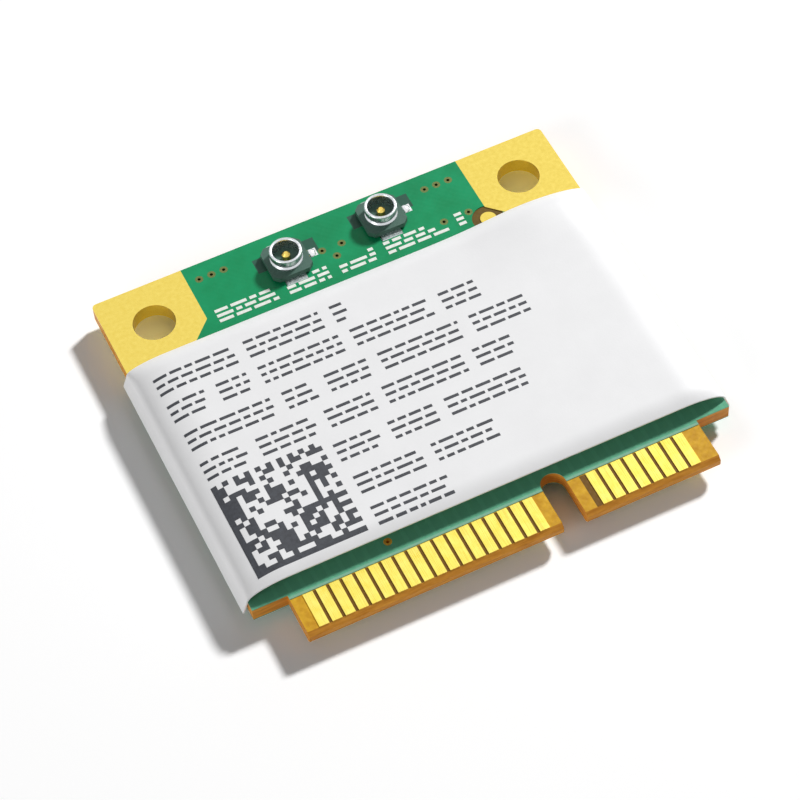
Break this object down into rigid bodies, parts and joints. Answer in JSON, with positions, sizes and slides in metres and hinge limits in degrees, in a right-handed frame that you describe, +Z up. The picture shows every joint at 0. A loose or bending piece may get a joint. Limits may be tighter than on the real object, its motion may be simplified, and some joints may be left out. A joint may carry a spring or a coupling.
{
  "type": "laptop wifi card",
  "caption": "Half-height mini card with edge contacts, a key slot, two plated screw corners, two coax antenna connectors and a label over its shield can.",
  "frame": {"origin": "middle of the card's underside, in the plane that it lies on", "axes": "+Z up out of the label side, +Y from the edge contacts towards the antenna connectors, +X across the card to the right as the label side is seen"},
  "size_m": [0.0308, 0.0268, 0.0026],
  "materials": {
    "laminate": "matte",
    "solder_mask": "semi-gloss",
    "gold_plate": "satin",
    "via_plate": "satin",
    "tin": "satin",
    "black_mould": "matte",
    "green_mould": "matte",
    "can_steel": "satin",
    "crystal_metal": "satin",
    "ferrite": "matte",
    "white_ceramic": "matte",
    "tan_ceramic": "matte",
    "label_paper": "matte"
  },
  "bodies": {
    "root": {"board": "laminate", "solder_mask_top": "solder_mask", "solder_mask_bottom": "solder_mask", "screw_land_left": "gold_plate", "screw_land_right": "gold_plate", "contacts_top": "gold_plate", "contacts_bottom": "gold_plate", "vias": "via_plate", "fiducials": "gold_plate", "test_pads": "gold_plate", "antenna_pads": "gold_plate", "antenna_solder": "tin", "antenna_base_main": "green_mould", "antenna_shell_main": "tin", "antenna_pin_main": "gold_plate", "antenna_base_aux": "green_mould", "antenna_shell_aux": "tin", "antenna_pin_aux": "gold_plate", "shield_frame": "can_steel", "shield_lid": "can_steel", "wifi_chip": "black_mould", "wifi_chip_leads": "tin", "bluetooth_chip": "black_mould", "bluetooth_chip_leads": "tin", "memory_chip": "black_mould", "memory_chip_leads": "tin", "regulator": "black_mould", "regulator_leads": "tin", "power_inductor": "ferrite", "wifi_crystal": "crystal_metal", "bluetooth_crystal": "crystal_metal", "rf_switch": "black_mould", "rf_filters": "white_ceramic", "capacitors": "tan_ceramic", "resistors": "black_mould", "chip_part_ends": "tin", "label": "label_paper"}
  },
  "joints": []
}
